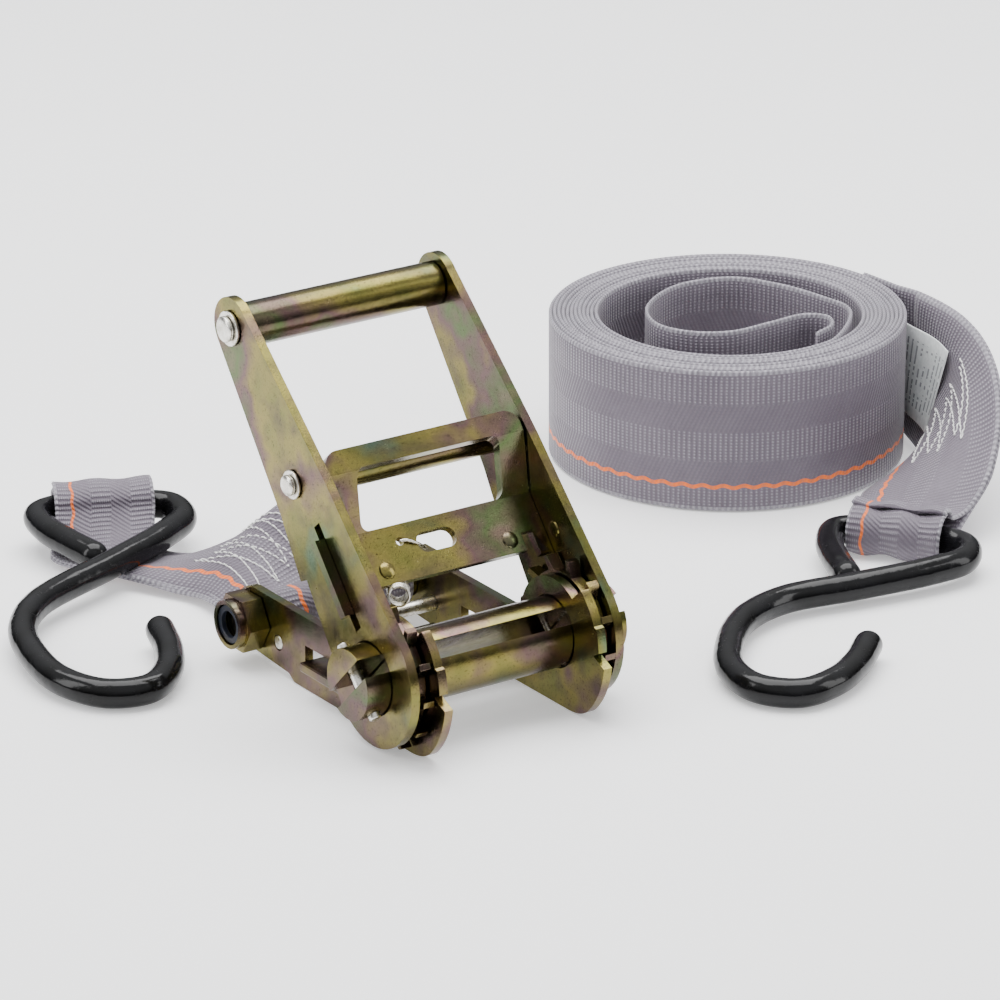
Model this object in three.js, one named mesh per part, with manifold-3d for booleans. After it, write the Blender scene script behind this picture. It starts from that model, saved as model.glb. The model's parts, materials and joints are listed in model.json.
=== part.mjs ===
// Ratchet strap set for 50 mm webbing: a ratchet buckle with its short sewn strap and hook,
// and the long webbing, rolled on edge, with its own hook.
// Millimetres, +Z up. X runs along the ratchet's spindle, Y along its base frame, away from the
// mouth. The model is built about the spindle's centre and moved at the end, so that the origin
// is the bottom centre of the whole set's box, on the surface that it lies on.

import * as THREE from "three";
import { mergeVertices } from "three/addons/utils/BufferGeometryUtils.js";
import Module from "manifold-3d";

const wasm = await Module();
wasm.setup();

// ---- driving dimensions ------------------------------------------------------------------

const FLOOR = -23.2; // the surface that the set lies on, below the spindle's axis
const GAP = 0.3; // running gap between neighbours
const RUN = 0.5; // clearance round anything that turns in a punched hole

const PLATE = 3; // pressed plate thickness
const BASE_INNER = 27.5; // inner face of a base plate
const BASE_OUTER = BASE_INNER + PLATE;
const WHEEL_INNER = BASE_OUTER + 0.7;
const WHEEL_OUTER = WHEEL_INNER + 3.8;
const HANDLE_INNER = WHEEL_OUTER + 0.8;
const HANDLE_OUTER = HANDLE_INNER + PLATE;

const SPINDLE_R = 11.25; // circle round both half shafts
const SPINDLE_SLOT = 6; // gap between them, which takes the webbing
const SPINDLE_END = 47.5;
const SLOT_TILT = THREE.MathUtils.degToRad(135); // the slot's direction in Y-Z
const SPLIT_PIN = { r: 1.9, half: 12.9, x: 43.2 };
const SLOT_PIN = { r: 1, half: 10.9, x: 26.2 };
const HUB_R = SPINDLE_R + RUN;

const TEETH = 12;
const TIP_R = 23;
const ROOT_R = 18.5;
const TOOTH = { flank: 3.4, land: 5, back: 12 }; // degrees from the flank's tip
const FLANK_TIP = 62.6; // degrees of one flank's tip from +Y

const HANDLE_ANGLE = THREE.MathUtils.degToRad(49); // the handle's lean above the base frame
const GRIP_AT = 118; // spindle to grip, along the handle
const SPACER_AT = 65;
const HANDLE_END_R = 9.7;
const HANDLE_HUB_R = 22;

const PAWL_V = 2.1; // underside of the drive pawl, in front of the handle's centre plane
const PAWL_NOSE = 23.4; // just clear of the tooth tips
const PAWL_BODY = 25.5;
const PAWL_TOP = 67.5;
const PAWL_HALF = HANDLE_INNER - RUN;
const TAB_END = HANDLE_OUTER + 3.5;
const TAB = { from: 19.5, to: 44.5 };
const DRIVE_TRAVEL = { in: 4.8, out: 5.2 };

const LOCK_Z = -14.5; // underside of the lock pawl
const LOCK_NOSE = 20.4;
const LOCK_TAIL = 46;
const LOCK_END = HANDLE_INNER - RUN;
const LOCK_TRAVEL = { in: 5.2, out: 4.4 };
const SPRING_PIN = { y: 66, z: LOCK_Z + PLATE / 2, r: 2.25 };

const BOLT = { y: 80, z: -9.5, r: 5, head: 6.4, flats: 17, nut: 7, collar: 2.6 };

const WEBBING = 50;
const PLY = 1.6; // one layer of webbing
const LOOP_W = 24; // webbing gathered round a hook's eye

const WIRE_R = 4.7; // coated hook wire

const ROLL = { x: 201, y: 146.5, outer: 61, inner: 43 };

// ---- shape and solid helpers -------------------------------------------------------------

const rad = THREE.MathUtils.degToRad;
const v2 = (x, y) => new THREE.Vector2(x, y);
const v3 = (x, y, z) => new THREE.Vector3(x, y, z);
const polar = (r, degrees) => [r * Math.cos(rad(degrees)), r * Math.sin(rad(degrees))];

function positionsOnly(geometry) {
  const g = geometry.clone();
  for (const name of Object.keys(g.attributes)) {
    if (name !== "position") g.deleteAttribute(name);
  }
  return mergeVertices(g, 1e-4);
}

function toSolid(geometry) {
  const g = positionsOnly(geometry);
  return new wasm.Manifold(
    new wasm.Mesh({
      numProp: 3,
      vertProperties: new Float32Array(g.attributes.position.array),
      triVerts: new Uint32Array(g.index.array),
    }),
  );
}

function toGeometry(solid) {
  const m = solid.getMesh();
  const g = new THREE.BufferGeometry();
  g.setAttribute("position", new THREE.BufferAttribute(m.vertProperties, 3));
  g.setIndex(new THREE.BufferAttribute(m.triVerts, 1));
  g.computeVertexNormals();
  return g;
}

const join = (...geometries) => toGeometry(geometries.map(toSolid).reduce((a, b) => a.add(b)));

const cut = (body, ...tools) =>
  toGeometry(tools.map(toSolid).reduce((a, b) => a.subtract(b), toSolid(body)));

// A flat outline in the Y-Z plane, swept along X from x0 to x1.
const acrossX = new THREE.Matrix4().makeBasis(v3(0, 1, 0), v3(0, 0, 1), v3(1, 0, 0));

function plate(shape, x0, x1, curveSegments = 24) {
  const depth = x1 - x0;
  const g = new THREE.ExtrudeGeometry(shape, { depth, bevelEnabled: false, curveSegments });
  return g.applyMatrix4(acrossX).translate(x0, 0, 0);
}

function box(x0, x1, y0, y1, z0, z1) {
  const g = new THREE.BoxGeometry(x1 - x0, y1 - y0, z1 - z0);
  return g.translate((x0 + x1) / 2, (y0 + y1) / 2, (z0 + z1) / 2);
}

// A block on the right, from inner to outer in X, and its mirror image on the left.
function boxPair(inner, outer, y0, y1, z0, z1) {
  return [box(inner, outer, y0, y1, z0, z1), box(-outer, -inner, y0, y1, z0, z1)];
}

// A round bar of radius r between two points.
function bar(r, from, to, sides = 20) {
  const along = to.clone().sub(from);
  const g = new THREE.CylinderGeometry(r, r, along.length(), sides);
  const turn = new THREE.Quaternion().setFromUnitVectors(v3(0, 1, 0), along.clone().normalize());
  g.applyQuaternion(turn);
  return g.translate(...from.clone().lerp(to, 0.5).toArray());
}

// A body turned about the X axis, from [x, radius] pairs that start and end on the axis
// or close on themselves.
function turnedX(profile, sides = 24) {
  const g = new THREE.LatheGeometry(profile.map(([x, r]) => v2(r, x)), sides);
  return outward(g.rotateZ(-Math.PI / 2));
}

function ringX(inner, outer, x0, x1, sides = 24) {
  return turnedX([[x0, inner], [x1, inner], [x1, outer], [x0, outer], [x0, inner]], sides);
}

function circleHole(shape, x, y, r) {
  shape.holes.push(new THREE.Path().absarc(x, y, r, 0, 2 * Math.PI, true));
}

function boxHole(shape, x0, x1, y0, y1) {
  shape.holes.push(new THREE.Path([v2(x0, y0), v2(x0, y1), v2(x1, y1), v2(x1, y0)]));
}

function hexagon(flats) {
  const r = flats / Math.sqrt(3);
  const corners = Array.from({ length: 6 }, (_, i) => v2(...polar(r, 60 * i)));
  return new THREE.Shape(corners);
}

// A band of thickness t that follows stations of centre, width direction and half width.
function band(stations, t, steps) {
  const curveOf = (points) => new THREE.CatmullRomCurve3(points, false, "centripetal");
  const spine = curveOf(stations.map((s) => s.at));
  const widths = curveOf(stations.map((s) => s.across.clone().normalize()));
  const halves = curveOf(stations.map((s, i) => v3(s.half, i * 1e-3, 0)));
  const rings = [];
  for (let i = 0; i <= steps; i++) {
    const u = i / steps;
    const at = spine.getPoint(u);
    const across = widths.getPoint(u).normalize();
    const up = spine.getTangent(u).cross(across).normalize().multiplyScalar(t / 2);
    across.multiplyScalar(halves.getPoint(u).x);
    const corner = (a, b) => at.clone().addScaledVector(across, a).addScaledVector(up, b);
    rings.push([corner(-1, -1), corner(1, -1), corner(1, 1), corner(-1, 1)]);
  }
  return loft(rings);
}

// A closed body through rings of the same number of points, with flat ends.
function loft(rings) {
  const n = rings[0].length;
  const points = rings.flat();
  const index = [];
  for (let i = 0; i + 1 < rings.length; i++) {
    for (let j = 0; j < n; j++) {
      const a = i * n + j;
      const b = i * n + ((j + 1) % n);
      index.push(a, b, b + n, a, b + n, a + n);
    }
  }
  const last = (rings.length - 1) * n;
  for (let j = 1; j + 1 < n; j++) {
    index.push(0, j + 1, j, last, last + j, last + j + 1);
  }
  const g = new THREE.BufferGeometry().setFromPoints(points);
  g.setIndex(index);
  return outward(g);
}

// The same body with its faces turned to point out of it.
function outward(geometry) {
  const g = positionsOnly(geometry);
  if (signedVolume(g) < 0) g.setIndex(Array.from(g.index.array).reverse());
  g.computeVertexNormals();
  return g;
}

function signedVolume(g) {
  const p = (i) => new THREE.Vector3().fromBufferAttribute(g.attributes.position, g.index.getX(i));
  let sum = 0;
  for (let i = 0; i < g.index.count; i += 3) sum += p(i).dot(p(i + 1).cross(p(i + 2)));
  return sum / 6;
}

// A wire of radius r along a curve.
function wire(curve, r, steps, sides) {
  const section = new THREE.Shape(
    Array.from({ length: sides }, (_, i) => v2(...polar(r, (360 * i) / sides))),
  );
  return new THREE.ExtrudeGeometry(section, { steps, extrudePath: curve, bevelEnabled: false });
}

// ---- materials ---------------------------------------------------------------------------

const zinc = () => new THREE.MeshStandardMaterial({ color: 0x8d8560, metalness: 0.9, roughness: 0.35 });
const steel = () => new THREE.MeshStandardMaterial({ color: 0xb9b6ae, metalness: 1, roughness: 0.3 });
const vinyl = () => new THREE.MeshStandardMaterial({ color: 0x0b0c0c, roughness: 0.25 });
const nylon = () => new THREE.MeshStandardMaterial({ color: 0x1c2440, roughness: 0.5 });
const woven = () => new THREE.MeshStandardMaterial({ color: 0x8b8892, roughness: 0.8 });
const paper = () => new THREE.MeshStandardMaterial({ color: 0xe9ecea, roughness: 0.7 });

function node(name, geometry, material) {
  const mesh = new THREE.Mesh(geometry, material);
  mesh.name = name;
  return mesh;
}

// The same piece for both sides: made for the right and mirrored in X for the left.
function bothSides(name, make, material) {
  const right = make();
  const left = outward(right.clone().scale(-1, 1, 1));
  return [node(name + "_right", right, material()), node(name + "_left", left, material())];
}

// ---- base frame --------------------------------------------------------------------------

// A cam nose round the spindle, a raised sector that lifts the pawl, a locking notch, and an
// arm that runs back to the anchor bolt. The foot of the nose and the arm is flat.
function baseOutline() {
  const s = new THREE.Shape();
  s.moveTo(24, 0.8);
  s.lineTo(...polar(17.5, 12));
  s.absarc(0, 0, 17.5, rad(12), rad(126), false);
  s.lineTo(...polar(23.5, 129));
  s.absarc(0, 0, 23.6, rad(130), rad(158), false);
  s.absarc(0, 0, 24.6, rad(160), rad(178), false);
  s.lineTo(...polar(21.6, 182));
  s.lineTo(...polar(27.6, 187));
  s.absarc(0, 0, 27.6, rad(188), rad(226), false);
  s.quadraticCurveTo(-15.7, FLOOR, -8, FLOOR);
  s.lineTo(57, FLOOR);
  s.lineTo(60, FLOOR + 2);
  s.lineTo(BOLT.y, BOLT.z - 10.4);
  s.absarc(BOLT.y, BOLT.z, 10.4, rad(-90), rad(90), false);
  s.lineTo(24, 0.8);
  circleHole(s, 0, 0, HUB_R);
  circleHole(s, BOLT.y, BOLT.z, BOLT.r + 0.4);
  circleHole(s, SPRING_PIN.y, SPRING_PIN.z, SPRING_PIN.r + GAP);
  const low = LOCK_Z - GAP;
  boxHole(s, LOCK_NOSE - LOCK_TRAVEL.in, LOCK_TAIL + LOCK_TRAVEL.out, low, low + 6.2);
  return s;
}

function baseFrame() {
  const headShape = hexagon(BOLT.flats);
  const headFrom = BASE_OUTER + GAP;
  const head = plate(headShape, headFrom, headFrom + BOLT.head).translate(0, BOLT.y, BOLT.z);
  const shank = bar(
    BOLT.r,
    v3(headFrom + 1, BOLT.y, BOLT.z),
    v3(-BASE_OUTER - BOLT.nut + GAP, BOLT.y, BOLT.z),
    24,
  );
  return [
    ...bothSides("base_plate", () => plate(baseOutline(), BASE_INNER, BASE_OUTER, 16), zinc),
    node("anchor_bolt", join(head, shank), zinc()),
    node("lock_nut", nut(), zinc()),
    node("nylon_insert", nylonInsert(), nylon()),
    node("spring_stop_pin", springStop(), steel()),
  ];
}

// A hexagon nut with a round collar, on the left end of the bolt.
function nut() {
  const inner = -BASE_OUTER - GAP;
  const shape = hexagon(BOLT.flats);
  circleHole(shape, 0, 0, BOLT.r + GAP);
  const hex = plate(shape, inner - BOLT.nut, inner, 12);
  const step = inner - BOLT.nut;
  const collar = ringX(6.5, 7.9, step - BOLT.collar, step + 0.5);
  return join(hex, collar).translate(0, BOLT.y, BOLT.z);
}

function nylonInsert() {
  const step = -BASE_OUTER - GAP - BOLT.nut - GAP;
  return ringX(4.3, 6.2, step - 1.7, step).translate(0, BOLT.y, BOLT.z);
}

function springStop() {
  const at = (x) => v3(x, SPRING_PIN.y, SPRING_PIN.z);
  return bar(SPRING_PIN.r, at(-BASE_OUTER), at(BASE_OUTER), 16);
}

function lockPawl() {
  const top = LOCK_Z + PLATE;
  const tabs = box(-LOCK_END, LOCK_END, LOCK_NOSE, LOCK_TAIL, LOCK_Z, top);
  const bay = BASE_INNER - RUN;
  const tongue = box(-bay + 10, bay - 10, LOCK_TAIL - 4, 50, LOCK_Z, top);
  const front = box(-bay + 4, bay - 4, LOCK_NOSE - 4, LOCK_NOSE + 4.6, LOCK_Z - 1, top + 1);
  return node("lock_pawl", cut(join(tabs, tongue), front), zinc());
}

// ---- spindle -----------------------------------------------------------------------------

function segment(radius, flat) {
  const edge = Math.asin(flat / radius);
  const s = new THREE.Shape();
  s.absarc(0, 0, radius, edge, Math.PI - edge, false);
  s.closePath();
  return s;
}

const alongPin = v3(0, Math.cos(SLOT_TILT - Math.PI / 2), Math.sin(SLOT_TILT - Math.PI / 2));

function crossPin({ r, half, x }, sides) {
  const end = (sign) => v3(x, 0, 0).addScaledVector(alongPin, sign * half);
  return bar(r, end(-1), end(1), sides);
}

function halfShaft(name, turn) {
  const body = plate(segment(SPINDLE_R, SPINDLE_SLOT / 2), -SPINDLE_END, SPINDLE_END, 20);
  body.rotateX(turn);
  const drill = (pin, side) =>
    crossPin({ r: pin.r + GAP, half: pin.half + 3, x: side * pin.x }, 16);
  const holes = [SPLIT_PIN, SLOT_PIN].flatMap((pin) => [drill(pin, 1), drill(pin, -1)]);
  return node(name, cut(body, ...holes), zinc());
}

// Hooked teeth: each steep flank is parallel to the drive pawl that pushes on it.
function wheelOutline() {
  const s = new THREE.Shape();
  const pitch = 360 / TEETH;
  for (let i = 0; i < TEETH; i++) {
    const tip = FLANK_TIP + i * pitch;
    const start = polar(ROOT_R, tip + TOOTH.flank);
    if (i === 0) s.moveTo(...start);
    else s.lineTo(...start);
    s.lineTo(...polar(TIP_R, tip));
    s.lineTo(...polar(TIP_R, tip + TOOTH.land));
    s.lineTo(...polar(ROOT_R, tip + TOOTH.back));
    s.lineTo(...polar(ROOT_R, tip + TOOTH.back + 10));
  }
  s.closePath();
  const radius = SPINDLE_R + GAP;
  const edge = Math.asin((SPINDLE_SLOT / 2 - GAP) / radius);
  for (const turn of [SLOT_TILT, SLOT_TILT + Math.PI]) {
    const hole = new THREE.Path();
    hole.absarc(0, 0, radius, turn + Math.PI - edge, turn + edge, true);
    s.holes.push(hole);
  }
  return s;
}

function spindle() {
  return [
    halfShaft("half_shaft_lower", SLOT_TILT),
    halfShaft("half_shaft_upper", SLOT_TILT + Math.PI),
    ...bothSides("ratchet_wheel", () => plate(wheelOutline(), WHEEL_INNER, WHEEL_OUTER, 16), zinc),
    ...bothSides("split_pin", () => crossPin(SPLIT_PIN, 12), steel),
    ...bothSides("slot_pin", () => crossPin(SLOT_PIN, 10), steel),
  ];
}

// ---- handle, in its own frame: Y along the handle, Z to its front ---------------------------

function handleOutline() {
  const s = new THREE.Shape();
  const hub = HANDLE_HUB_R;
  s.moveTo(GRIP_AT, HANDLE_END_R);
  s.lineTo(58, 17.4);
  s.lineTo(21, 20.4);
  s.absarc(0, 0, hub, rad(84), rad(312), false);
  s.lineTo(38.5, -14);
  s.lineTo(39.5, -17.6);
  s.lineTo(60, -14);
  s.lineTo(GRIP_AT, -HANDLE_END_R);
  s.absarc(GRIP_AT, 0, HANDLE_END_R, rad(-90), rad(90), false);
  circleHole(s, 0, 0, HUB_R);
  circleHole(s, GRIP_AT, 0, 3.3);
  circleHole(s, SPACER_AT, 0, 2.8);
  boxHole(
    s,
    TAB.from - DRIVE_TRAVEL.in,
    TAB.to + DRIVE_TRAVEL.out,
    PAWL_V - GAP,
    PAWL_V + PLATE + GAP,
  );
  return s;
}

// A dimple's back, a low round boss on a plate's inner face.
function boss(x, y, z, axis, r, height) {
  const g = new THREE.SphereGeometry(r, 12, 8);
  g.scale(...axis.map((a) => (a ? height / r : 1)));
  return g.translate(x, y, z);
}

function handlePlate() {
  const body = plate(handleOutline(), HANDLE_INNER, HANDLE_OUTER, 16);
  return join(body, boss(HANDLE_INNER, 28.6, 9.6, [1, 0, 0], 2.8, 0.9));
}

function rivet(at, r, headR, washerT) {
  const seat = HANDLE_OUTER + GAP + washerT + GAP;
  const profile = [
    [-seat - 2, 0],
    [-seat - 2, headR * 0.6],
    [-seat - 1.2, headR],
    [-seat, headR],
    [-seat, r],
    [seat, r],
    [seat, headR],
    [seat + 1.2, headR],
    [seat + 2, headR * 0.6],
    [seat + 2, 0],
  ];
  return turnedX(profile, 20).translate(0, at, 0);
}

function washer(at, inner, outer, t) {
  const x = HANDLE_OUTER + GAP;
  return ringX(inner, outer, x, x + t, 20).translate(0, at, 0);
}

function handle() {
  const tubeEnd = HANDLE_INNER - GAP;
  const tube = (at, inner, outer) => ringX(inner, outer, -tubeEnd, tubeEnd, 28).translate(0, at, 0);
  return [
    ...bothSides("handle_plate", handlePlate, zinc),
    node("grip_tube", tube(GRIP_AT, 5.4, 7), zinc()),
    node("grip_rivet", rivet(GRIP_AT, 3, 4.1, 0.9), steel()),
    ...bothSides("grip_washer", () => washer(GRIP_AT, 3.3, 5.6, 0.9), steel),
    node("spacer_tube", tube(SPACER_AT, 3, 5), zinc()),
    node("spacer_rivet", rivet(SPACER_AT, 2.5, 3.3, 0.8), steel()),
    ...bothSides("spacer_washer", () => washer(SPACER_AT, 2.8, 4.6, 0.8), steel),
    node("return_spring", returnSpring(), steel()),
  ];
}

// A close coil of wire between two points, with its axis straight.
class Coil extends THREE.Curve {
  constructor(from, to, r, turns) {
    super();
    this.from = from;
    this.axis = to.clone().sub(from);
    const away = Math.abs(this.axis.x) < this.axis.length() * 0.9 ? v3(1, 0, 0) : v3(0, 0, 1);
    this.side = this.axis.clone().cross(away).normalize();
    this.other = this.axis.clone().normalize().cross(this.side);
    this.r = r;
    this.turns = turns;
  }

  getPoint(t) {
    const angle = 2 * Math.PI * this.turns * t;
    return this.from
      .clone()
      .addScaledVector(this.axis, t)
      .addScaledVector(this.side, this.r * Math.cos(angle))
      .addScaledVector(this.other, this.r * Math.sin(angle));
  }
}

function returnSpring() {
  const coil = new Coil(v3(-18.5, 24.5, -2.4), v3(-27, 20.5, 9.5), 2.2, 7);
  return wire(coil, 0.4, 70, 6);
}

function lockSpring() {
  const from = 50 + 0.8;
  const to = SPRING_PIN.y - SPRING_PIN.r - 0.8;
  const coil = new Coil(v3(0, from, SPRING_PIN.z), v3(0, to, SPRING_PIN.z), 2.2, 6);
  return node("lock_spring", wire(coil, 0.4, 60, 6), steel());
}

// A flat lower plate with two noses and two tabs, and a window frame bent forward at the top
// for the finger that pulls it.
function drivePawl() {
  const front = PAWL_V + PLATE;
  const mid = PAWL_V + PLATE / 2;
  const bend = { y: 44, z: mid };
  const lip = { y: 60.5, z: 14.5 };
  const side = new THREE.Shape([
    v2(PAWL_BODY, PAWL_V),
    v2(bend.y + 1, PAWL_V),
    v2(lip.y + 1, lip.z - 1.5),
    v2(PAWL_TOP, lip.z - 1.5),
    v2(PAWL_TOP, lip.z + 1.5),
    v2(lip.y - 0.6, lip.z + 1.5),
    v2(bend.y - 0.6, front),
    v2(PAWL_BODY, front),
  ]);
  const body = plate(side, -PAWL_HALF, PAWL_HALF);
  const window = roundedBlock(-26, 26, 43.5, 60.5, 3, -4, 20);
  const slot = roundedBlock(-9, 5, 32.6, 39.2, 3.2, PAWL_V - 2, front + 2);
  const hole = bar(1.4, v3(-14.4, 38, PAWL_V - 2), v3(-14.4, 38, front + 2), 12);
  const tabs = boxPair(30, TAB_END, 31, TAB.to, PAWL_V, front);
  const heels = boxPair(HANDLE_INNER - 0.6, TAB_END, TAB.from, 33, PAWL_V, front);
  const noses = boxPair(WHEEL_INNER, WHEEL_OUTER + 0.5, PAWL_NOSE, 33, PAWL_V, front);
  const overBase = [BASE_INNER - RUN, WHEEL_INNER - 0.1];
  const slots = boxPair(...overBase, PAWL_BODY - 4, 31.5, PAWL_V - 1, front + 1);
  const full = join(body, ...tabs, ...heels, ...noses);
  const trimmed = cut(full, window, slot, hole, ...slots, cornerCut(-1), cornerCut(1));
  const dimples = [-1, 1].map((s) => boss(s * 22.5, 30, front, [0, 0, 1], 2.8, 1));
  return node("drive_pawl", join(trimmed, ...dimples), zinc());
}

// A block with rounded upright edges, in X-Y, between two heights.
function roundedBlock(x0, x1, y0, y1, r, z0, z1) {
  const s = new THREE.Shape();
  s.absarc(x1 - r, y0 + r, r, rad(-90), 0, false);
  s.absarc(x1 - r, y1 - r, r, 0, rad(90), false);
  s.absarc(x0 + r, y1 - r, r, rad(90), rad(180), false);
  s.absarc(x0 + r, y0 + r, r, rad(180), rad(270), false);
  s.closePath();
  const g = new THREE.ExtrudeGeometry(s, { depth: z1 - z0, bevelEnabled: false, curveSegments: 5 });
  return g.translate(0, 0, z0);
}

// What rounding off an upper corner of the pull frame takes away.
function cornerCut(side) {
  const r = 5;
  const s = new THREE.Shape();
  s.moveTo(PAWL_HALF + 1, PAWL_TOP + 1);
  s.lineTo(PAWL_HALF - r, PAWL_TOP + 1);
  s.absarc(PAWL_HALF - r, PAWL_TOP - r, r, rad(90), 0, true);
  s.lineTo(PAWL_HALF + 1, PAWL_TOP - r);
  s.closePath();
  const g = new THREE.ExtrudeGeometry(s, { depth: 12, bevelEnabled: false, curveSegments: 6 });
  g.translate(0, 0, 8);
  if (side > 0) return g;
  return g.rotateY(Math.PI).translate(0, 0, 28);
}

// ---- hooks ---------------------------------------------------------------------------------

// The hook's wire in its own plane: the closed eye, the straight shank, which lengthens by
// extra, and the open bowl.
function hookRoute(extra) {
  const eye = [
    [-1.5, -8.6], [-4.5, -21], [-9, -34], [-15.5, -42.5], [-22.5, -41.7], [-27, -37.1], [-33, -31],
    [-39, -24.9], [-43.5, -20.3], [-47, -12], [-41.5, -3], [-28, 0],
  ];
  const bowl = [
    [26, 0], [44, 8], [58, 24], [66.5, 42], [65.5, 58], [55.5, 66.5], [42, 63.5], [29.5, 54.5],
    [19.5, 43.5],
  ];
  const points = [...eye, [0, 0.4], ...bowl.map(([a, b]) => [a + extra, b])];
  return points.map(([a, b]) => v3(a + 33, b + 31, 0)); // about the middle of the eye bar
}

// heading turns the hook on the surface; dip lets the bowl down onto it from the raised eye.
function hook(name, { at, heading, extra }) {
  const curve = new THREE.CatmullRomCurve3(hookRoute(extra), false, "centripetal");
  const tube = wire(curve, WIRE_R, 64, 12);
  const tip = new THREE.SphereGeometry(WIRE_R * 0.995, 12, 8);
  tip.translate(...curve.getPoint(1).toArray());
  const mesh = node(name, join(tube, tip), vinyl());
  const reach = Math.max(...curve.getPoints(64).map((p) => p.dot(OUT_OF_EYE)));
  const dip = Math.asin((at.z - FLOOR - WIRE_R) / reach);
  mesh.quaternion
    .setFromAxisAngle(v3(0, 0, 1), heading)
    .multiply(new THREE.Quaternion().setFromAxisAngle(EYE_BAR, dip));
  mesh.position.copy(at);
  return mesh;
}

// The eye bar's direction in the hook's plane, and the direction from it to the bowl.
const EYE_BAR = v3(-0.7, 0.714, 0).normalize();
const OUT_OF_EYE = v3(0.714, 0.7, 0).normalize();

const barDirection = (heading) => EYE_BAR.clone().applyAxisAngle(v3(0, 0, 1), heading);

// A hook's eye bar lies above the surface by the webbing under it: the left hook's shank also
// lies over its strap.
const eyeAt = (x, y, lift) => v3(x, y, FLOOR + WIRE_R + lift);
const LEFT_EYE = { at: eyeAt(-18.1, 195.4, 6.3), heading: rad(201.3), extra: 12 };
const RIGHT_EYE = { at: eyeAt(189.7, 36.3, 2.3), heading: rad(171.5), extra: 0 };

// ---- webbing -------------------------------------------------------------------------------

// The turn of webbing round a hook's eye bar.
function eyeLoop({ at, heading }) {
  const s = new THREE.Shape().absarc(0, 0, WIRE_R + GAP + PLY, 0, 2 * Math.PI, false);
  circleHole(s, 0, 0, WIRE_R + GAP);
  const g = plate(s, -LOOP_W / 2, LOOP_W / 2, 10);
  const turn = new THREE.Quaternion().setFromUnitVectors(v3(1, 0, 0), barDirection(heading));
  return g.applyQuaternion(turn).translate(...at.toArray());
}

const station = (x, y, z, across, half) => ({ at: v3(x, y, z), across: v3(...across), half });

// Round the anchor bolt, back in a low hump, under the hook's shank and up to its eye bar.
function shortStrap() {
  const flat = FLOOR + PLY + 0.65;
  const across = barDirection(LEFT_EYE.heading);
  const inEye = v3(0, 0, 1).cross(across);
  if (inEye.y > 0) inEye.negate();
  const fromBar = (d, rise) => LEFT_EYE.at.clone().addScaledVector(inEye, d).setZ(rise);
  const stations = [
    station(0, BOLT.y + 5.7, BOLT.z - 1, [1, 0, 0], WEBBING / 2),
    station(0, 92, -14.5, [1, 0, 0], WEBBING / 2),
    station(0, 104, flat + 5, [1, 0, 0.2], WEBBING / 2),
    station(-2, 122, flat + 7.6, [1, -0.05, 0.3], WEBBING / 2),
    station(-8, 142, flat + 4.4, [1, -0.15, 0.16], 24.5),
    station(-17, 156, flat + 0.1, [1, -0.3, 0], 21),
    { at: fromBar(24, flat), across, half: 18 },
    { at: fromBar(14, flat + 2.4), across, half: 15 },
    { at: fromBar(5.9, LEFT_EYE.at.z), across, half: LOOP_W / 2 - 0.2 },
  ];
  const anchor = ringX(BOLT.r + GAP, BOLT.r + GAP + PLY, -WEBBING / 2, WEBBING / 2, 24);
  anchor.translate(0, BOLT.y, BOLT.z);
  return node("short_strap", join(band(stations, 2 * PLY, 28), anchor, eyeLoop(LEFT_EYE)), woven());
}

function rollRing() {
  const s = new THREE.Shape().absellipse(0, 0, ROLL.outer, ROLL.outer + 0.5, 0, 2 * Math.PI, false, 0);
  circleHole(s, 0, 0, ROLL.inner);
  const g = new THREE.ExtrudeGeometry(s, { depth: WEBBING, bevelEnabled: false, curveSegments: 24 });
  return node("webbing_roll", g.translate(ROLL.x, ROLL.y, FLOOR), woven());
}

// The start of the webbing, which springs back inside the roll as a free loop on edge.
function innerLoop() {
  const up = [0, 0, 1];
  const z = FLOOR + WEBBING / 2;
  const plan = [
    [213, 113], [222, 117], [226, 124], [221, 130], [206, 130], [190, 130], [179, 137],
    [174, 149], [181, 166], [202, 178], [222, 174], [231, 160], [235, 140], [234.5, 126], [230, 119],
  ];
  const stations = plan.map(([x, y]) => station(x, y, z, up, WEBBING / 2));
  return node("webbing_inner_loop", band(stations, PLY, 56), woven());
}

// The outer end leaves the roll on edge and twists down flat to the right hook's eye.
const TAIL = [
  station(265, 150, 2.5, [0, 0, 1], 24.8),
  station(264, 122, 3, [0.1, 0, 1], 24.8),
  station(257, 96, 3, [0.25, -0.12, 0.95], 24.8),
  station(245, 78, 0, [0.42, -0.42, 0.8], 24.6),
  station(231, 66, -5.5, [0.54, -0.64, 0.54], 24.2),
  station(216, 55.5, -11.5, [0.58, -0.76, 0.28], 22),
  station(203, 46.2, -15, [0.6, -0.79, 0.08], 17),
];

function tail() {
  const eyeBar = barDirection(RIGHT_EYE.heading);
  const away = v3(0, 0, 1).cross(eyeBar).normalize();
  if (away.x < 0) away.negate();
  const entry = RIGHT_EYE.at.clone().addScaledVector(away, 5.9);
  const across = eyeBar.y < 0 ? eyeBar : eyeBar.negate();
  const stations = [...TAIL, { at: entry, across, half: LOOP_W / 2 - 0.2 }];
  return node("webbing_tail", join(band(stations, 2 * PLY, 40), eyeLoop(RIGHT_EYE)), woven());
}

// A paper label sewn to the inner side of the tail.
function label() {
  const inward = (s, half) => {
    const shifted = s.at.clone().add(v3(-PLY - 1.6, 0, 0));
    return { at: shifted, across: s.across, half };
  };
  const stations = [TAIL[1], TAIL[2]].map((s) => inward(s, 15));
  return node("label", band(stations, 0.4, 6), paper());
}

// ---- assembly --------------------------------------------------------------------------------

const handleGroup = new THREE.Group();
handleGroup.rotation.x = HANDLE_ANGLE;
handleGroup.add(...handle(), drivePawl());

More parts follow.
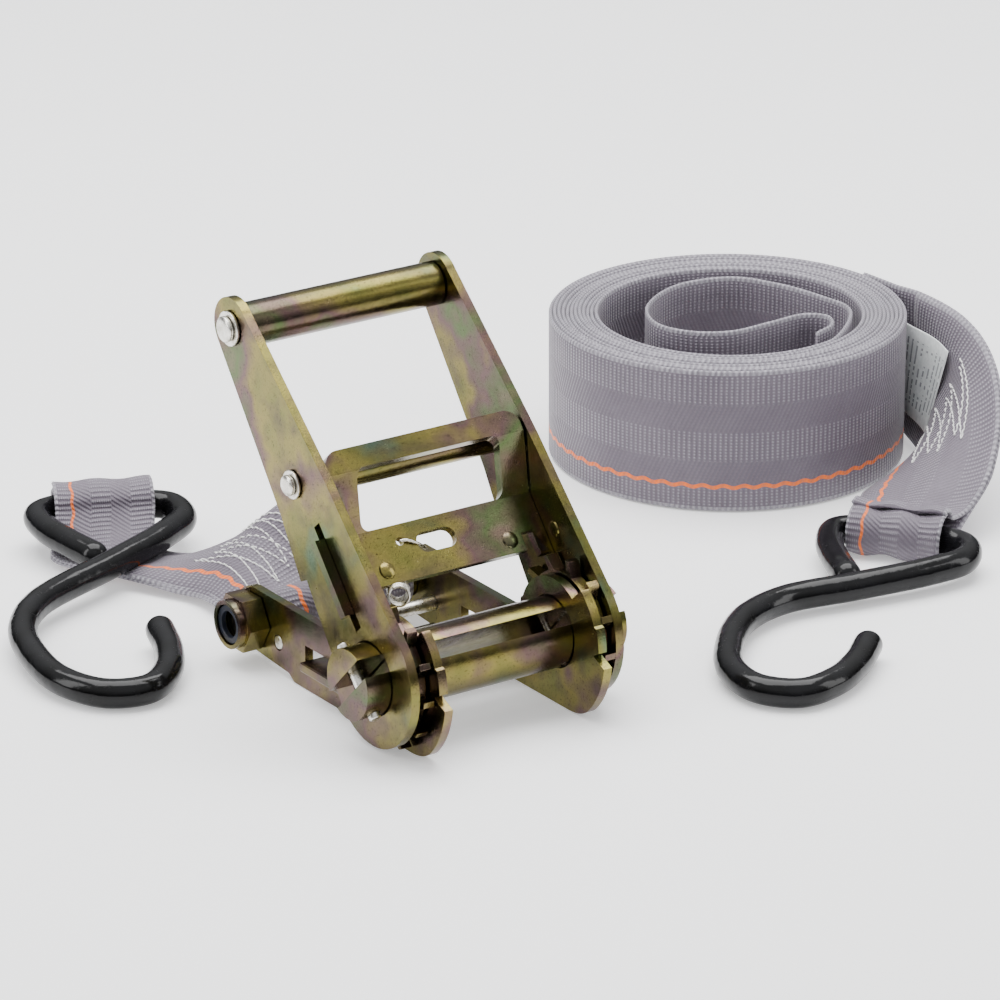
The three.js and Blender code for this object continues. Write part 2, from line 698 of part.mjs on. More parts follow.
const root = new THREE.Group();
root.add(
  ...baseFrame(),
  lockPawl(),
  lockSpring(),
  ...spindle(),
  handleGroup,
  shortStrap(),
  hook("left_hook", LEFT_EYE),
  rollRing(),
  innerLoop(),
  tail(),
  label(),
  hook("right_hook", RIGHT_EYE),
);

root.updateMatrixWorld(true);
const extent = new THREE.Box3().setFromObject(root, true);
root.position.set(
  -(extent.min.x + extent.max.x) / 2,
  -(extent.min.y + extent.max.y) / 2,
  -extent.min.z,
);

export default root;
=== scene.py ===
import json
import math

import bmesh
import bpy
import numpy as np
from mathutils import Matrix, Quaternion, Vector


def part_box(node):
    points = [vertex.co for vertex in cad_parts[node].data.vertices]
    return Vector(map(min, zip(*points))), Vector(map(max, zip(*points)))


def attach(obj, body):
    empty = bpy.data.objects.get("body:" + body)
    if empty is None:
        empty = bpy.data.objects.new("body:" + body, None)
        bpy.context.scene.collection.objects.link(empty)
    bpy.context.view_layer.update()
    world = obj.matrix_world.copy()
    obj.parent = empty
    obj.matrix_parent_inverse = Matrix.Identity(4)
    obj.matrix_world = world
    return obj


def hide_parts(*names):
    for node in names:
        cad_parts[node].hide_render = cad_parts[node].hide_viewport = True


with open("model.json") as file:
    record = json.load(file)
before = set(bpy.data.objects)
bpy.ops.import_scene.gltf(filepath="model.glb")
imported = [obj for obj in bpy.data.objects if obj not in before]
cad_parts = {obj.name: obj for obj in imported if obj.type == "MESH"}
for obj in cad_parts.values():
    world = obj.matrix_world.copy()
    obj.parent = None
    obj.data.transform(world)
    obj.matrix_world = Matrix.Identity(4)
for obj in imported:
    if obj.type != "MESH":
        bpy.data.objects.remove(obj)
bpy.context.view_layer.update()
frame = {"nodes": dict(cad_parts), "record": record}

# ---- the ratchet's own frame: its origin is the spindle's centre, in millimetres ---------------

shaft_boxes = [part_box(n) for n in ("half_shaft_lower", "half_shaft_upper")]
SPINDLE = (
    Vector([min(b[0][i] for b in shaft_boxes) for i in range(3)])
    + Vector([max(b[1][i] for b in shaft_boxes) for i in range(3)])
) / 2
FLOOR_MM = -SPINDLE.z * 1000
WEBBING_WIDTH = 0.05  # metres
LABEL_WIDTH = 0.03


def place(x, y, z):
    """A point given in millimetres from the spindle's centre, in the row frame in metres."""
    return SPINDLE + Vector((x, y, z)) / 1000


# ---- camera -----------------------------------------------------------------------------------

AZIMUTH = math.radians(34.2)
ELEVATION = math.radians(21.3)
DISTANCE_MM = 1900
LENS_MM = 224.8
SENSOR_MM = 36
CLIP_END = 30  # metres
RIGHT_MM = 6.6
UP_MM = 45.8

right = Vector((math.cos(AZIMUTH), -math.sin(AZIMUTH), 0))
level = Vector((math.sin(AZIMUTH), math.cos(AZIMUTH), 0))
forward = level * math.cos(ELEVATION) - Vector((0, 0, math.sin(ELEVATION)))
up = right.cross(forward)
camera = bpy.data.objects.new("camera", bpy.data.cameras.new("camera"))
bpy.context.scene.collection.objects.link(camera)
camera.data.lens = LENS_MM
camera.data.sensor_width = SENSOR_MM
camera.data.clip_end = CLIP_END
camera.location = place(*(right * RIGHT_MM + up * UP_MM - forward * DISTANCE_MM))
camera.rotation_euler = Matrix((right, up, -forward)).transposed().to_euler()
bpy.context.scene.camera = camera

# ---- node helpers -----------------------------------------------------------------------------


class Shader:
    """A Principled material and the few kinds of node that these surfaces use."""

    def __init__(self, name, **fixed):
        self.material = bpy.data.materials.new(name)
        self.material.use_nodes = True
        self.tree = self.material.node_tree
        self.bsdf = self.tree.nodes["Principled BSDF"]
        for socket, value in fixed.items():
            self.bsdf.inputs[socket.replace("_", " ")].default_value = value

    def node(self, kind, inputs=(), **settings):
        n = self.tree.nodes.new(kind)
        for key, value in settings.items():
            setattr(n, key, value)
        for key, value in dict(inputs).items():
            if isinstance(value, bpy.types.NodeSocket):
                self.tree.links.new(value, n.inputs[key])
            else:
                n.inputs[key].default_value = value
        return n

    def where(self, kind="Object"):
        return self.node("ShaderNodeTexCoord").outputs[kind]

    def noise(self, vector, scale, detail=3.0, roughness=0.5):
        inputs = {"Vector": vector, "Scale": scale, "Detail": detail, "Roughness": roughness}
        return self.node("ShaderNodeTexNoise", inputs).outputs["Fac"]

    def math(self, operation, a, b=0.0, c=0.0):
        return self.node("ShaderNodeMath", {0: a, 1: b, 2: c}, operation=operation).outputs[0]

    def ramp(self, factor, stops):
        n = self.node("ShaderNodeValToRGB", {"Fac": factor})
        ramp = n.color_ramp
        while len(ramp.elements) < len(stops):
            ramp.elements.new(0.5)
        for element, (at, colour) in zip(ramp.elements, stops):
            element.position = at
            element.color = (*colour, 1) if hasattr(colour, "__len__") else (colour,) * 3 + (1,)
        return n.outputs["Color"]

    def mix(self, factor, a, b, blend="MIX"):
        n = self.node("ShaderNodeMix", data_type="RGBA", blend_type=blend)
        for index, value in ((0, factor), (6, a), (7, b)):
            if isinstance(value, bpy.types.NodeSocket):
                self.tree.links.new(value, n.inputs[index])
            else:
                n.inputs[index].default_value = value if index == 0 else (*value, 1)
        return n.outputs[2]

    def scaled(self, value, low, high):
        inputs = {"Value": value, "To Min": low, "To Max": high}
        return self.node("ShaderNodeMapRange", inputs).outputs[0]

    def bump(self, height, distance, strength=1.0, under=None):
        inputs = {"Height": height, "Distance": distance, "Strength": strength}
        if under is not None:
            inputs["Normal"] = under
        return self.node("ShaderNodeBump", inputs).outputs["Normal"]

    def set(self, **links):
        for socket, value in links.items():
            self.tree.links.new(value, self.bsdf.inputs[socket.replace("_", " ")])
        return self.material


# ---- materials --------------------------------------------------------------------------------


def zinc_chromate(name, shift=0.0, dark=1.0):
    """Yellow zinc-chromate plate: gold and olive with green and violet clouds, a grainy skin
    and small dark pits."""
    teal, olive, gold = (0.075, 0.150, 0.105), (0.150, 0.145, 0.040), (0.215, 0.178, 0.052)
    violet, green, rose = (0.135, 0.080, 0.078), (0.092, 0.132, 0.050), (0.200, 0.122, 0.105)
    stops = zip((0.28, 0.38, 0.47, 0.55, 0.63, 0.74), (teal, olive, gold, violet, green, rose))
    brown = (0.085, 0.062, 0.045)
    s = Shader(name, Metallic=1.0)
    at = s.node("ShaderNodeMapping", {"Vector": s.where(), "Location": (shift, shift * 2, shift)})
    at = at.outputs[0]
    clouds = s.noise(at, 30, 3, 0.55)
    tint = s.ramp(clouds, [(stop, [c * dark for c in colour]) for stop, colour in stops])
    streaks = s.node("ShaderNodeMapping", {"Vector": at, "Scale": (0.3, 1, 1)}).outputs[0]
    patches = s.ramp(s.noise(streaks, 120, 3), [(0.45, 0.0), (0.68, 0.6)])
    colour = s.mix(patches, tint, brown)
    pits = s.ramp(s.noise(at, 1300, 3, 0.75), [(0.33, 0.15), (0.43, 1.0)])
    colour = s.mix(0.7, colour, pits, "MULTIPLY")
    rough = s.scaled(s.noise(at, 350, 3, 0.6), 0.12, 0.34)
    grain = s.bump(s.noise(at, 1900, 3, 0.6), 0.0001, 0.35)
    waves = s.bump(s.noise(at, 60, 2), 0.0006, 0.3, grain)
    return s.set(Base_Color=colour, Roughness=rough, Normal=waves)


def bright_steel(name):
    s = Shader(name, Metallic=1.0)
    at = s.where()
    colour = s.ramp(s.noise(at, 260, 4), [(0.3, (0.46, 0.43, 0.36)), (0.6, (0.78, 0.76, 0.70))])
    rough = s.scaled(s.noise(at, 700, 3), 0.15, 0.42)
    return s.set(Base_Color=colour, Roughness=rough, Normal=s.bump(s.noise(at, 1900, 2), 0.0001, 0.4))


def vinyl(name):
    """Dipped black vinyl: glossy, softly lumpy, with a few dull scuffs."""
    s = Shader(name, Coat_Weight=0.08, Coat_Roughness=0.06, Specular_IOR_Level=0.2)
    at = s.where()
    colour = s.ramp(s.noise(at, 90, 3), [(0.35, (0.002, 0.002, 0.002)), (0.7, (0.006, 0.006, 0.007))])
    scuffs = s.ramp(s.noise(at, 420, 5, 0.7), [(0.55, 0.13), (0.74, 0.42)])
    lumps = s.bump(s.noise(at, 75, 2), 0.0012, 0.5)
    fine = s.bump(s.noise(at, 900, 3), 0.00008, 0.35, lumps)
    return s.set(Base_Color=colour, Roughness=scuffs, Normal=fine)


def nylon(name):
    s = Shader(name, Subsurface_Weight=0.05)
    at = s.where()
    colour = s.ramp(s.noise(at, 500, 3), [(0.3, (0.003, 0.004, 0.010)), (0.7, (0.007, 0.011, 0.026))])
    rough = s.scaled(s.noise(at, 900, 2), 0.3, 0.5)
    return s.set(Base_Color=colour, Roughness=rough, Normal=s.bump(s.noise(at, 1500, 2), 0.00006, 0.4))


def woven(name, width=WEBBING_WIDTH, tracer=0.0085):
    """Polyester lashing webbing. U runs along it and V across it, in metres: ribs across the
    width, smoother bands between dotted rows of painted glints on the rib crests, painted shade
    in the gaps of the weave, a selvedge painted lighter as a painted highlight for the roll's
    lit top edges, with dots of painted glints, and one orange tracer."""
    s = Shader(name, Sheen_Weight=0.2, Sheen_Roughness=0.4, Specular_IOR_Level=0.45)
    uv = s.node("ShaderNodeSeparateXYZ", {0: s.where("UV")})
    u, v = uv.outputs[0], uv.outputs[1]
    rib_pitch, yarn_pitch, band = 0.00172, 0.0011, width / 5
    selvedge_width, selvedge_pitch = 0.0016, 0.0019
    zig_pitch, zig_height, tracer_half = 0.0068, 0.0008, 0.0007
    # The between colour is painted shade, for the gaps of the weave.
    mauve, pale_mauve, between = (0.100, 0.080, 0.106), (0.160, 0.136, 0.168), (0.075, 0.060, 0.085)
    # The glint colours are painted highlights; the lighter edge colour is a painted highlight for the
    # selvedges, which form the roll's lit top.
    glint, selvedge_highlight, edge_glint = (0.58, 0.56, 0.62), (0.27, 0.26, 0.29), (0.45, 0.44, 0.48)
    lint, orange = (0.28, 0.25, 0.30), (0.88, 0.16, 0.01)

    def wave(value, pitch, offset=0.0):
        turned = s.math("MULTIPLY_ADD", value, 2 * math.pi / pitch, offset)
        return s.math("MULTIPLY_ADD", s.math("SINE", turned), 0.5, 0.5)

    lean = s.math("MULTIPLY_ADD", v, 0.45, u)
    twill = wave(lean, rib_pitch * 0.9)
    ribs = wave(u, rib_pitch)
    yarn = wave(v, yarn_pitch)
    bands = s.ramp(wave(v, band * 2, 0.6), [(0.42, 0.0), (0.58, 1.0)])
    weave = s.mix(bands, s.mix(0.4, twill, yarn, "MULTIPLY"), s.mix(0.45, ribs, yarn, "MULTIPLY"))
    strands = s.math("MULTIPLY_ADD", yarn, 0.6, 0.4)
    # Painted highlight: glints where the rib crests catch the light, set in dotted rows on the rib
    # bands.
    glints = s.math("POWER", s.math("MULTIPLY", ribs, strands), 2.2)
    dots = s.math("MULTIPLY", bands, glints)
    edge = s.math("MINIMUM", v, s.math("SUBTRACT", width, v))
    selvedge = s.math("LESS_THAN", edge, selvedge_width)
    # Painted highlight: glint dots along the selvedge.
    edge_dots = s.math("MULTIPLY", selvedge, s.math("POWER", wave(u, selvedge_pitch), 1.3))
    height = s.math("ADD", weave, s.math("ADD", dots, edge_dots))
    cloth = s.where()
    soft = s.noise(cloth, 48, 3)
    fibre = s.noise(cloth, 2300, 3, 0.7)
    colour = s.ramp(soft, [(0.3, mauve), (0.7, pale_mauve)])
    # Painted shade: the gaps of the weave are darkened.
    gap_shade = s.math("MULTIPLY", s.math("SUBTRACT", 1.0, weave), 0.55)
    colour = s.mix(gap_shade, colour, between)
    # Painted highlight on the rib crests.
    colour = s.mix(s.math("MULTIPLY", dots, 0.42), colour, glint)
    # Painted highlight: the selvedges are painted lighter, for the roll's top edges that face the
    # light.
    colour = s.mix(s.math("MULTIPLY", selvedge, 0.35), colour, selvedge_highlight)
    # Painted highlight: glint dots on the selvedge.
    colour = s.mix(s.math("MULTIPLY", edge_dots, 0.6), colour, edge_glint)
    colour = s.mix(s.scaled(fibre, 0, 0.26), colour, lint)
    zig = s.math("MULTIPLY_ADD", wave(u, zig_pitch), zig_height, tracer)
    off_line = s.math("ABSOLUTE", s.math("SUBTRACT", v, zig))
    line = s.math("LESS_THAN", off_line, tracer_half)
    line = s.math("MULTIPLY", line, s.scaled(wave(u, zig_pitch / 2, 0.8), 0.72, 1.0))
    colour = s.mix(line, colour, orange)
    rough = s.scaled(s.noise(cloth, 400, 2), 0.42, 0.66)
    total = s.math("ADD", height, s.math("MULTIPLY_ADD", fibre, 0.5, line))
    return s.set(Base_Color=colour, Roughness=rough, Normal=s.bump(total, 0.0003, 0.75))


def thread(name, colour, light):
    s = Shader(name, Sheen_Weight=0.3, Roughness=0.6)
    at = s.where()
    twist = s.noise(at, 3200, 2)
    return s.set(
        Base_Color=s.ramp(twist, [(0.3, colour), (0.7, light)]),
        Normal=s.bump(twist, 0.00012, 0.6),
    )


def printed_label(name):
    """A white label with rows of plain grey bars in place of print."""
    s = Shader(name, Specular_IOR_Level=0.3)
    uv = s.node("ShaderNodeSeparateXYZ", {0: s.where("UV")})
    u, v = uv.outputs[0], uv.outputs[1]
    rows = s.math("LESS_THAN", s.math("FRACT", s.math("MULTIPLY", u, 330.0)), 0.34)
    stretched = {0: s.math("MULTIPLY", u, 90.0), 1: s.math("MULTIPLY", v, 700.0)}
    words = s.noise(s.node("ShaderNodeCombineXYZ", stretched).outputs[0], 1.0, 0)
    ink = s.math("MULTIPLY", rows, s.math("GREATER_THAN", words, 0.46))
    margin = s.math("MULTIPLY", s.math("GREATER_THAN", v, 0.004), s.math("LESS_THAN", v, 0.026))
    ink = s.math("MULTIPLY", s.math("MULTIPLY", ink, margin), 0.75)
    paper = s.ramp(s.noise(s.where(), 700, 3), [(0.3, (0.66, 0.70, 0.69)), (0.7, (0.80, 0.83, 0.82))])
    rough = s.scaled(s.noise(s.where(), 300, 2), 0.45, 0.65)
    return s.set(Base_Color=s.mix(ink, paper, (0.20, 0.21, 0.23)), Roughness=rough)


ZINC = [zinc_chromate("zinc_a"), zinc_chromate("zinc_b", 0.31), zinc_chromate("zinc_c", 0.77, 0.8)]
STEEL = bright_steel("bright_steel")
VINYL = vinyl("vinyl")
NYLON = nylon("nylon")
WEBBING = woven("webbing")
WHITE_THREAD = thread("white_thread", (0.62, 0.62, 0.60), (0.86, 0.86, 0.84))
LABEL = printed_label("label_print")

# ---- mesh helpers -----------------------------------------------------------------------------

body_of_node = {
    n: body for body, members in frame["record"]["behaviour"]["bodies"].items() for n in members
}


def finish_piece(obj, body, material, replaced=()):
    if material is not None:
        obj.data.materials.clear()
        obj.data.materials.append(material)
    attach(obj, body)
    if replaced:
        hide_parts(*replaced)
    return obj


def new_object(name, verts, faces, smooth=True):
    mesh = bpy.data.meshes.new(name)
    mesh.from_pydata([tuple(v) for v in verts], [], faces)
    mesh.validate()
    mesh.polygons.foreach_set("use_smooth", [smooth] * len(mesh.polygons))
    obj = bpy.data.objects.new(name, mesh)
    bpy.context.scene.collection.objects.link(obj)
    return obj


def through(points, count):
    """count points along a centripetal curve through the given ones."""
    p = np.array([tuple(q) for q in points], float)
    first, last = 2 * p[0] - p[1], 2 * p[-1] - p[-2]
    p = np.vstack([first, p, last])
    out = []
    for t in np.linspace(0, len(p) - 3, count):
        i = min(int(t), len(p) - 4)
        t -= i
        a, b, c, d = p[i : i + 4]
        k = [max(np.sum((q - r) ** 2) ** 0.25, 1e-9) for q, r in ((b, a), (c, b), (d, c))]
        m1 = ((b - a) / k[0] - (c - a) / (k[0] + k[1]) + (c - b) / k[1]) * k[1]
        m2 = ((c - b) / k[1] - (d - b) / (k[1] + k[2]) + (d - c) / k[2]) * k[1]
        x = 2 * b - 2 * c + m1 + m2
        y = -3 * b + 3 * c - 2 * m1 - m2
        out.append(((x * t + y) * t + m1) * t + b)
    return np.array(out)


def unit(a):
    return a / np.maximum(np.linalg.norm(a, axis=-1, keepdims=True), 1e-12)


def tube(name, path, radius, sides=16, caps=4):
    """A round wire along a path, in metres, with domed ends."""
    path = np.array(path, float)
    tangent = unit(np.gradient(path, axis=0))
    side = unit(np.cross(tangent[0], (0.3, 0.2, 0.9)))
    rings = []
    for at, t in zip(path, tangent):
        side = unit(side - t * np.dot(side, t))
        rings.append((at, side, np.cross(t, side), radius))
    ends = []
    for (at, a, b, r), t, sign in ((rings[0], tangent[0], -1), (rings[-1], tangent[-1], 1)):
        dome = []
        for i in range(1, caps):
            turn = math.pi / 2 * i / caps
            dome.append((at + t * sign * r * math.sin(turn), a, b, r * math.cos(turn)))
        ends.append(dome)
    rings = ends[0][::-1] + rings + ends[1]
    verts, faces = [], []
    for at, a, b, r in rings:
        for j in range(sides):
            turn = 2 * math.pi * j / sides
            verts.append(at + r * (a * math.cos(turn) + b * math.sin(turn)))
    for i in range(len(rings) - 1):
        for j in range(sides):
            k = (j + 1) % sides
            faces.append([i * sides + j, i * sides + k, (i + 1) * sides + k, (i + 1) * sides + j])
    faces.append(list(range(sides))[::-1])
    faces.append([(len(rings) - 1) * sides + j for j in range(sides)])
    return new_object(name, verts, faces)


class Ribbon:
    """Webbing that follows dense stations, in metres: a centre, a direction across and a half
    width. V runs from 0 at the edge opposite to across to the full width at the other."""

    def __init__(self, at, across, half, thick, offset=0.0):
        self.at = np.array(at, float)
        self.across = unit(np.array(across, float))
        tangent = unit(np.gradient(self.at, axis=0))
        self.up = unit(np.cross(tangent, self.across))
        self.at = self.at + self.up * np.reshape(offset, (-1, 1))
        self.half = np.array(half, float) * np.ones(len(self.at))
        self.thick = thick
        steps = np.linalg.norm(np.diff(self.at, axis=0), axis=1)
        self.length = np.concatenate([[0], np.cumsum(steps)])

    def point(self, u, v, lift, width=WEBBING_WIDTH):
        """The point u metres along and v across, lift metres above the middle of the cloth."""

        def pick(a):
            return np.array([np.interp(u, self.length, a[:, i]) for i in range(3)])

        half = np.interp(u, self.length, self.half)
        s = 2 * v / width - 1
        return pick(self.at) + pick(self.across) * half * s + pick(self.up) * lift

    def mesh(self, name, columns=12, crown=None, width=WEBBING_WIDTH):
        edge = 0.972  # where the flat face gives way to the rounded selvedge
        s_top = np.linspace(-edge, edge, columns)
        section = [(s, 1) for s in s_top] + [(1, 0)] + [(s, -1) for s in s_top[::-1]] + [(-1, 0)]
        n = len(section)
        verts, uvs = [], []
        for i in range(len(self.at)):
            for s, o in section:
                rise = o * self.thick / 2
                if crown is not None:
                    rise += crown(self.length[i], s)
                verts.append(self.at[i] + self.across[i] * self.half[i] * s + self.up[i] * rise)
                uvs.append((self.length[i], (s + 1) / 2 * width))
        faces = []
        for i in range(len(self.at) - 1):
            for j in range(n):
                k = (j + 1) % n
                faces.append([i * n + j, (i + 1) * n + j, (i + 1) * n + k, i * n + k])
        faces.append(list(range(n)))
        faces.append([(len(self.at) - 1) * n + j for j in range(n)][::-1])
        obj = new_object(name, verts, faces)
        layer = obj.data.uv_layers.new(name="UVMap")
        for loop in obj.data.loops:
            layer.data[loop.index].uv = uvs[loop.vertex_index]
        turned_out(obj)
        return obj


def turned_out(obj):
    bm = bmesh.new()
    bm.from_mesh(obj.data)
    bmesh.ops.recalc_face_normals(bm, faces=bm.faces)
    bm.to_mesh(obj.data)
    bm.free()


def bevelled(node, width_mm=0.4, segments=2):
    """The same shape as a CAD node with its edges rounded, so that they catch the light."""
    flat, corner, crease = math.radians(1.5), math.radians(32), math.radians(42)
    source = frame["nodes"][node]
    bm = bmesh.new()
    bm.from_mesh(source.data)
    bmesh.ops.remove_doubles(bm, verts=bm.verts, dist=2e-6)
    bmesh.ops.dissolve_limit(bm, angle_limit=flat, verts=bm.verts, edges=bm.edges)
    sharp = [e for e in bm.edges if len(e.link_faces) == 2 and e.calc_face_angle() > corner]
    bmesh.ops.bevel(
        bm, geom=sharp, offset=width_mm / 1000, segments=segments, profile=0.5,
        affect="EDGES", clamp_overlap=True,
    )
    mesh = bpy.data.meshes.new(node + "_detail")
    bm.to_mesh(mesh)
    bm.free()
    mesh.polygons.foreach_set("use_smooth", [True] * len(mesh.polygons))
    mesh.set_sharp_from_angle(angle=crease)
    obj = bpy.data.objects.new(node + "_detail", mesh)
    bpy.context.scene.collection.objects.link(obj)
    weigh = obj.modifiers.new("weigh", "WEIGHTED_NORMAL")
    weigh.keep_sharp = True
    weigh.weight = 90
    return obj


# ---- metal ------------------------------------------------------------------------------------

record_slots = {s["node"]: s["material_slot"] for s in frame["record"]["subparts"]}
BEVELS = {
    "base_plate_right": 0.45, "base_plate_left": 0.45, "handle_plate_right": 0.6,
    "handle_plate_left": 0.6, "drive_pawl": 0.5, "lock_pawl": 0.4, "anchor_bolt": 0.5,
    "lock_nut": 0.5, "half_shaft_lower": 0.5, "half_shaft_upper": 0.5,
    "ratchet_wheel_right": 0.35, "ratchet_wheel_left": 0.35, "split_pin_right": 0.5,
    "split_pin_left": 0.5, "slot_pin_right": 0.2, "slot_pin_left": 0.2,
    "spring_stop_pin": 0.3, "grip_tube": 0.3, "grip_rivet": 0.3, "grip_washer_right": 0.2,
    "grip_washer_left": 0.2, "spacer_tube": 0.3, "spacer_rivet": 0.3,
    "spacer_washer_right": 0.2, "spacer_washer_left": 0.2, "nylon_insert": 0.2,
}
for index, (node, width) in enumerate(BEVELS.items()):
    slot = record_slots[node]
    finish = {"zinc_plated_steel": ZINC[index % 3], "nylon": NYLON}.get(slot, STEEL)
    piece = bevelled(node, width)
    finish_piece(piece, body_of_node[node], finish, [node])

# ---- springs ----------------------------------------------------------------------------------

HANDLE_ANGLE = math.radians(49)


def on_handle(x, along, front):
    c, s = math.cos(HANDLE_ANGLE), math.sin(HANDLE_ANGLE)
    return Vector((x, along * c - front * s, along * s + front * c))


def coil(start, end, radius, turns, per_turn=20):
    axis = (end - start).normalized()
    side = axis.cross(Vector((0.9, 0.1, 0.3))).normalized()
    other = axis.cross(side)
    out = []
    for i in range(int(turns * per_turn) + 1):
        t = i / (turns * per_turn)
        turn = 2 * math.pi * turns * t
        rim = side * math.cos(turn) + other * math.sin(turn)
        out.append(place(*(start.lerp(end, t) + rim * radius)))
    return out


RETURN_WIRE, LOCK_WIRE = 0.0005, 0.00045  # metres
return_turns = coil(on_handle(-15.5, 26.5, -4.5), on_handle(-23.6, 20.6, 7.5), 3.1, 7)
spring = tube("return_spring_coil", return_turns, RETURN_WIRE, 12)
finish_piece(spring, "handle", STEEL, ["return_spring"])
low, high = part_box("lock_spring")
lock_x, lock_z = low.x / 2 + high.x / 2, low.z / 2 + high.z / 2
front_end, back_end = [(Vector((lock_x, y, lock_z)) - SPINDLE) * 1000 for y in (low.y, high.y)]
spring = tube("lock_spring_coil", coil(front_end, back_end, 2.2, 8), LOCK_WIRE, 10)
finish_piece(spring, "base_frame", STEEL, ["lock_spring"])

leg_points = [(-14.4, 38, 5.6), (-12.6, 37.6, 6.1), (-9, 36, 5.4), (-5.5, 34.6, 3.0)]
leg_line = through([on_handle(*p) for p in leg_points], 24)
leg = tube("spring_leg", [place(*p) for p in leg_line], RETURN_WIRE, 10)
finish_piece(leg, "drive_pawl", STEEL)

# ---- hooks ------------------------------------------------------------------------------------

WIRE_MM = 4.7
EYE_BAR = Vector((-0.7, 0.714, 0)).normalized()
OUT_OF_EYE = Vector((0.714, 0.7, 0)).normalized()
EYE_ROUTE = [
    (-1.5, -8.6), (-4.5, -21), (-9, -34), (-15.5, -42.5), (-22.5, -41.7), (-27, -37.1), (-33, -31),
    (-39, -24.9), (-43.5, -20.3), (-47, -12), (-41.5, -3), (-28, 0), (0, 0.4),
]
BOWL_ROUTE = [
    (26, 0), (44, 8), (58, 24), (66.5, 42), (65.5, 58), (55.5, 66.5), (42, 63.5), (29.5, 54.5),
    (19.5, 43.5),
]
LEFT_LIFT, RIGHT_LIFT = 6.3, 2.3  # how far each eye's bar is held off the floor
EYE_TO_BAR = Vector((33, 31, 0))
HOOKS = {
    "left_hook": dict(
        at=Vector((-18.1, 195.4, FLOOR_MM + WIRE_MM + LEFT_LIFT)), heading=201.3, extra=12,
    ),
    "right_hook": dict(
        at=Vector((189.7, 36.3, FLOOR_MM + WIRE_MM + RIGHT_LIFT)), heading=171.5, extra=0,
    ),
}


def hook_turn(at, heading, route):
    reach = max(p.dot(OUT_OF_EYE) for p in route)
    dip = math.asin((at.z - FLOOR_MM - WIRE_MM) / reach)
    spin = Quaternion((0, 0, 1), math.radians(heading))
    return spin @ Quaternion(EYE_BAR, dip)


for name, h in HOOKS.items():
    route = EYE_ROUTE + [(a + h["extra"], b) for a, b in BOWL_ROUTE]
    route = [Vector((a, b, 0)) + EYE_TO_BAR for a, b in route]
    line = [Vector(p) for p in through(route, 260)]
    turn = hook_turn(h["at"], h["heading"], line)
    wire = tube(name + "_wire", [place(*(h["at"] + turn @ p)) for p in line], WIRE_MM / 1000, 28, 6)
    finish_piece(wire, name, VINYL, [name])


def eye_bar_direction(name):
    return Quaternion((0, 0, 1), math.radians(HOOKS[name]["heading"])) @ EYE_BAR


# ---- the rolled webbing -----------------------------------------------------------------------

WIDTH = 50
PLY = 1.22
ROLL = Vector((201, 146.5))
INNER_R, OUTER_R = 43.9, 60.4
TURNS = 11.87
PER_TURN = 110
MIDDLE_Z = FLOOR_MM + WIDTH / 2

loop_plan = [
    (213, 113), (222, 117), (226, 124), (221, 130), (206, 130), (190, 130), (179, 137),
    (174, 149), (181, 166), (202, 178), (222, 174), (231, 160), (236, 141), (236.5, 126),
]
END_TURN = 0.02
JOIN_AT = (9, 13, 17)  # points of the spiral that the inner loop's curve runs on through
JOINED_COUNT, JOINED_KEPT, SPIRAL_FROM = 241, 211, 10
start_turn = END_TURN + TURNS * 2 * math.pi
plan = []
for i in range(int(TURNS * PER_TURN) + 1):
    t = i / int(TURNS * PER_TURN)
    angle = start_turn + (END_TURN - start_turn) * t
    r = INNER_R + (OUTER_R - INNER_R) * t
    r += (0.35 * math.cos(2 * angle + 0.7) + 0.2 * math.cos(3 * angle)) * min(1, 20 * t)
    plan.append((ROLL.x + r * math.cos(angle), ROLL.y + r * math.sin(angle)))
joined = list(through([(*p, 0) for p in loop_plan] + [(*plan[j], 0) for j in JOIN_AT], JOINED_COUNT))
plan = [(p[0], p[1]) for p in joined[:JOINED_KEPT]] + plan[SPIRAL_FROM:]
heights = [MIDDLE_Z + 0.45 * math.sin(0.011 * i) * min(1, i / 400) for i in range(len(plan))]
roll = Ribbon(
    [place(x, y, z) for (x, y), z in zip(plan, heights)],
    [(0.004 * math.sin(0.05 * i), 0, 1) for i in range(len(plan))],
    WIDTH / 2000 - 0.0003, PLY / 1000,
)
roll_mesh = roll.mesh("webbing_long", 9)
finish_piece(roll_mesh, "long_webbing", WEBBING, ["webbing_roll", "webbing_inner_loop"])

# ---- the tail, which twists down to the right hook's eye and folds back ------------------------


def eased(stations, count):
    """Dense stations through sparse (centre, across, half width) ones, in metres."""
    at = through([s[0] for s in stations], count) / 1000
    across = unit(through([s[1] for s in stations], count))
    half = through([(s[2], i * 1e-3, 0) for i, s in enumerate(stations)], count)[:, 0] / 1000
    return at, across, half


def round_bar(eye, axis, out, gap_mm, width_half, start, end, count=14):
    """Stations round a hook's eye bar, turning from start to end degrees about its axis."""
    stations = []
    for i in range(count):
        a = math.radians(start + (end - start) * i / (count - 1))
        arm = out * math.cos(a) + Vector((0, 0, 1)) * math.sin(a)
        at = eye + arm * gap_mm
        at.z = max(at.z, FLAT)
        stations.append((at, axis, width_half))
    return stations


